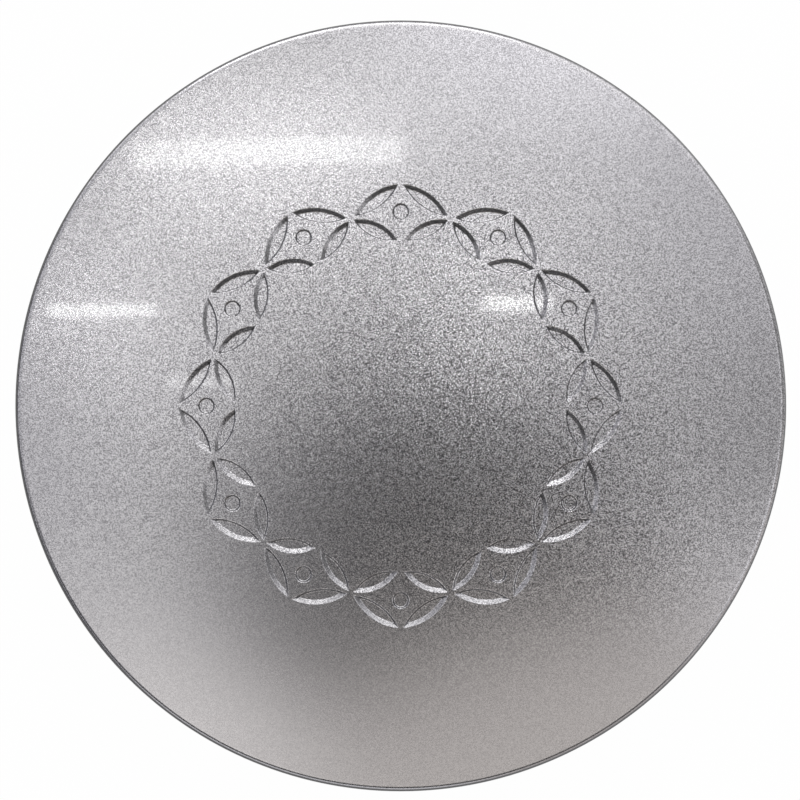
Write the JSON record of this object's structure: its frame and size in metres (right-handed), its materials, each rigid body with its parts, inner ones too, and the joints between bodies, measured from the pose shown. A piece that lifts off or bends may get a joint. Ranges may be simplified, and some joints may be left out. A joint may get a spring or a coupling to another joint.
{
  "type": "wheel centre cap",
  "caption": "Round, slightly domed cap in silver paint that closes the bore of a car wheel, with a debossed ring of ornament and sprung legs that snap in.",
  "frame": {"origin": "on the cap's axis, in the plane of the rim's underside, where the cap seats on the wheel", "axes": "+Z along the cap's axis, out of its face; +Y is up in the picture"},
  "size_m": [0.06, 0.06, 0.0162],
  "materials": {
    "silver_paint": "silver metallic paint under a clear coat on moulded ABS, with the back left bare",
    "spring_steel": "drawn wire, plain"
  },
  "bodies": {
    "root": {"cap_body": "silver_paint", "retaining_ring": "spring_steel"}
  },
  "joints": []
}
